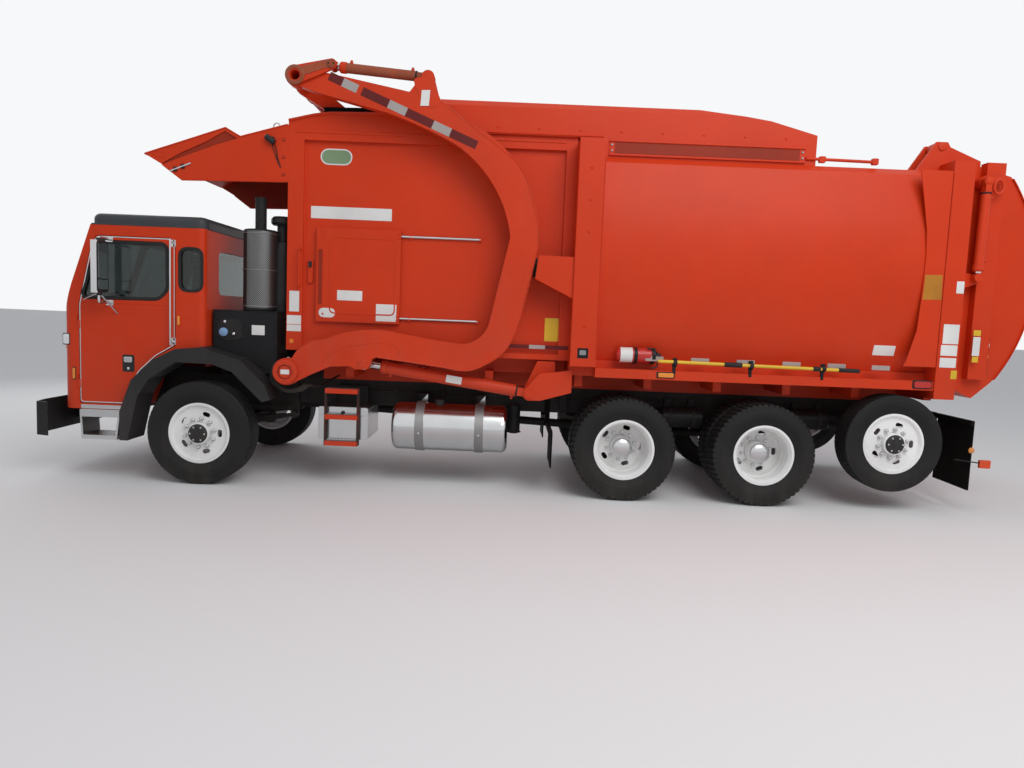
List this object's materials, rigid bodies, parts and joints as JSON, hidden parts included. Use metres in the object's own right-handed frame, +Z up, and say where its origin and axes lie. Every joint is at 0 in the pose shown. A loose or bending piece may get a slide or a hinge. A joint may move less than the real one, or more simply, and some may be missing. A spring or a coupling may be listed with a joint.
{
  "type": "garbage truck",
  "caption": "Front-loading refuse truck: cab-over chassis, gooseneck loader arms with forks, hopper with sliding hatch, barrel body and lifting tailgate.",
  "frame": {"origin": "on the ground, at the middle of the truck's length and width (bottom centre of its box)", "axes": "+X towards the rear, +Y towards the truck's right, +Z up"},
  "size_m": [9.75, 2.78, 4.089],
  "materials": {
    "orange_paint": "gloss",
    "black_paint": "satin",
    "grey_paint": "satin",
    "white_paint": "gloss",
    "chassis_steel": "matt",
    "bright_steel": "polished",
    "polished_alloy": "polished",
    "tyre_rubber": "matt",
    "flap_rubber": "matt",
    "window_glass": "clear",
    "black_plastic": "grained",
    "seat_fabric": "woven"
  },
  "bodies": {
    "truck": {"chassis_frame": "chassis_steel", "body_subframe": "orange_paint", "arm_bearings": "black_paint", "engine": "chassis_steel", "front_axle": "chassis_steel", "springs": "chassis_steel", "rear_axles": "chassis_steel", "cab_shell": "orange_paint", "cab_roof": "grey_paint", "cab_glass": "window_glass", "seats": "seat_fabric", "dashboard": "black_plastic", "bumper": "black_paint", "fenders": "black_plastic", "cab_steps": "bright_steel", "side_covers": "black_paint", "exhaust": "bright_steel", "fuel_tank": "polished_alloy", "tool_box": "bright_steel", "ladder": "orange_paint", "hopper": "orange_paint", "canopy": "orange_paint", "body": "orange_paint", "roof_hood": "orange_paint", "mud_flaps": "flap_rubber"},
    "arms": {"loader_arms": "orange_paint"},
    "forks": {"forks": "orange_paint"},
    "lift_barrels": {"lift_barrels": "orange_paint"},
    "lift_rods": {"lift_rods": "bright_steel"},
    "fork_barrels": {"fork_barrels": "orange_paint"},
    "fork_rods": {"fork_rods": "bright_steel"},
    "tailgate": {"tailgate": "orange_paint"},
    "tailgate_barrels": {"tailgate_barrels": "orange_paint"},
    "tailgate_rods": {"tailgate_rods": "bright_steel"},
    "door_left": {"door_left": "orange_paint", "door_glass_left": "window_glass", "mirror_left": "bright_steel"},
    "door_right": {"door_right": "orange_paint", "door_glass_right": "window_glass", "mirror_right": "bright_steel"},
    "hatch": {"hatch": "orange_paint"},
    "packer_blade": {"packer_blade": "orange_paint"},
    "knuckle_left": {"knuckle_left": "chassis_steel"},
    "knuckle_right": {"knuckle_right": "chassis_steel"},
    "wheel_front_left": {"wheel_front_left": "white_paint", "tyre_front_left": "tyre_rubber"},
    "wheel_front_right": {"wheel_front_right": "white_paint", "tyre_front_right": "tyre_rubber"},
    "wheel_drive_front_left": {"wheel_drive_front_left": "white_paint", "tyre_drive_front_left": "tyre_rubber"},
    "wheel_drive_front_right": {"wheel_drive_front_right": "white_paint", "tyre_drive_front_right": "tyre_rubber"},
    "wheel_drive_rear_left": {"wheel_drive_rear_left": "white_paint", "tyre_drive_rear_left": "tyre_rubber"},
    "wheel_drive_rear_right": {"wheel_drive_rear_right": "white_paint", "tyre_drive_rear_right": "tyre_rubber"},
    "wheel_tag_left": {"wheel_tag_left": "white_paint", "tyre_tag_left": "tyre_rubber"},
    "wheel_tag_right": {"wheel_tag_right": "white_paint", "tyre_tag_right": "tyre_rubber"}
  },
  "joints": [
    {"name": "arm_lift", "type": "hinge", "parent": "truck", "child": "arms", "pos_m": [-2.4, 0, 1.143], "axis": [0, 1, 0], "range_deg": [-104, 0]},
    {"name": "fork_tilt", "type": "hinge", "parent": "arms", "child": "forks", "pos_m": [-2.344, 0, 3.929], "axis": [0, 1, 0], "range_deg": [-110, 0]},
    {"name": "lift_barrel_swing", "type": "hinge", "parent": "truck", "child": "lift_barrels", "pos_m": [-0.026, 0, 1.01], "axis": [0, 1, 0], "range_deg": [0, 9.23]},
    {"name": "lift_rod_stroke", "type": "slide", "parent": "lift_barrels", "child": "lift_rods", "axis": [-0.9904, 0, 0.1386], "range_m": [0, 1.10939]},
    {"name": "fork_barrel_swing", "type": "hinge", "parent": "arms", "child": "fork_barrels", "pos_m": [-1.103, 0, 3.975], "axis": [0, 1, 0], "range_deg": [0, 4.98]},
    {"name": "fork_rod_stroke", "type": "slide", "parent": "fork_barrels", "child": "fork_rods", "axis": [-0.9973, 0, 0.0731], "range_m": [0, 0.57997]},
    {"name": "tailgate_lift", "type": "hinge", "parent": "truck", "child": "tailgate", "pos_m": [3.901, 0, 3.585], "axis": [0, -1, 0], "range_deg": [0, 85]},
    {"name": "tailgate_barrel_swing", "type": "hinge", "parent": "tailgate", "child": "tailgate_barrels", "pos_m": [4.234, 0, 3.226], "axis": [0, 1, 0], "range_deg": [0, 86.7]},
    {"name": "tailgate_rod_stroke", "type": "slide", "parent": "tailgate_barrels", "child": "tailgate_rods", "axis": [-0.0143, 0, -0.9999], "range_m": [0, 0.66143]},
    {"name": "door_left_hinge", "type": "hinge", "parent": "truck", "child": "door_left", "pos_m": [-4.457, -1.1, 1.5], "axis": [0, 0, -1], "range_deg": [0, 70]},
    {"name": "door_right_hinge", "type": "hinge", "parent": "truck", "child": "door_right", "pos_m": [-4.457, 1.1, 1.5], "axis": [0, 0, 1], "range_deg": [0, 70]},
    {"name": "hatch_slide", "type": "slide", "parent": "truck", "child": "hatch", "axis": [1, 0, 0], "range_m": [0, 0.73]},
    {"name": "packer_stroke", "type": "slide", "parent": "truck", "child": "packer_blade", "axis": [1, 0, 0], "range_m": [0, 1.5]},
    {"name": "steer_left", "type": "hinge", "parent": "truck", "child": "knuckle_left", "pos_m": [-3.235, -0.905, 0.448], "axis": [0, 0, 1], "range_deg": [-35, 35]},
    {"name": "steer_right", "type": "hinge", "parent": "truck", "child": "knuckle_right", "pos_m": [-3.235, 0.905, 0.448], "axis": [0, 0, 1], "range_deg": [-35, 35]},
    {"name": "wheel_front_left_spin", "type": "hinge", "parent": "knuckle_left", "child": "wheel_front_left", "pos_m": [-3.235, -1.215, 0.508], "axis": [0, 1, 0], "continuous": true},
    {"name": "wheel_front_right_spin", "type": "hinge", "parent": "knuckle_right", "child": "wheel_front_right", "pos_m": [-3.235, 1.215, 0.508], "axis": [0, 1, 0], "continuous": true},
    {"name": "wheel_drive_front_left_spin", "type": "hinge", "parent": "truck", "child": "wheel_drive_front_left", "pos_m": [0.92, -1.215, 0.508], "axis": [0, 1, 0], "continuous": true},
    {"name": "wheel_drive_front_right_spin", "type": "hinge", "parent": "truck", "child": "wheel_drive_front_right", "pos_m": [0.92, 1.215, 0.508], "axis": [0, 1, 0], "continuous": true},
    {"name": "wheel_drive_rear_left_spin", "type": "hinge", "parent": "truck", "child": "wheel_drive_rear_left", "pos_m": [2.292, -1.215, 0.508], "axis": [0, 1, 0], "continuous": true},
    {"name": "wheel_drive_rear_right_spin", "type": "hinge", "parent": "truck", "child": "wheel_drive_rear_right", "pos_m": [2.292, 1.215, 0.508], "axis": [0, 1, 0], "continuous": true},
    {"name": "wheel_tag_left_spin", "type": "hinge", "parent": "truck", "child": "wheel_tag_left", "pos_m": [3.551, -1.215, 0.674], "axis": [0, 1, 0], "continuous": true},
    {"name": "wheel_tag_right_spin", "type": "hinge", "parent": "truck", "child": "wheel_tag_right", "pos_m": [3.551, 1.215, 0.674], "axis": [0, 1, 0], "continuous": true}
  ],
  "couplings": [
    {"joint": "fork_tilt", "follows": "arm_lift", "ratio": 1.0577},
    {"joint": "lift_barrel_swing", "follows": "arm_lift", "ratio": -0.088649},
    {"joint": "lift_rod_stroke", "follows": "arm_lift", "m_per_rad": -0.61057},
    {"joint": "fork_barrel_swing", "follows": "arm_lift", "ratio": -0.047837},
    {"joint": "fork_rod_stroke", "follows": "arm_lift", "m_per_rad": -0.3192},
    {"joint": "tailgate_barrel_swing", "follows": "tailgate_lift", "ratio": 1.019},
    {"joint": "tailgate_rod_stroke", "follows": "tailgate_lift", "m_per_rad": 0.4454},
    {"joint": "steer_right", "follows": "steer_left", "ratio": 1}
  ]
}
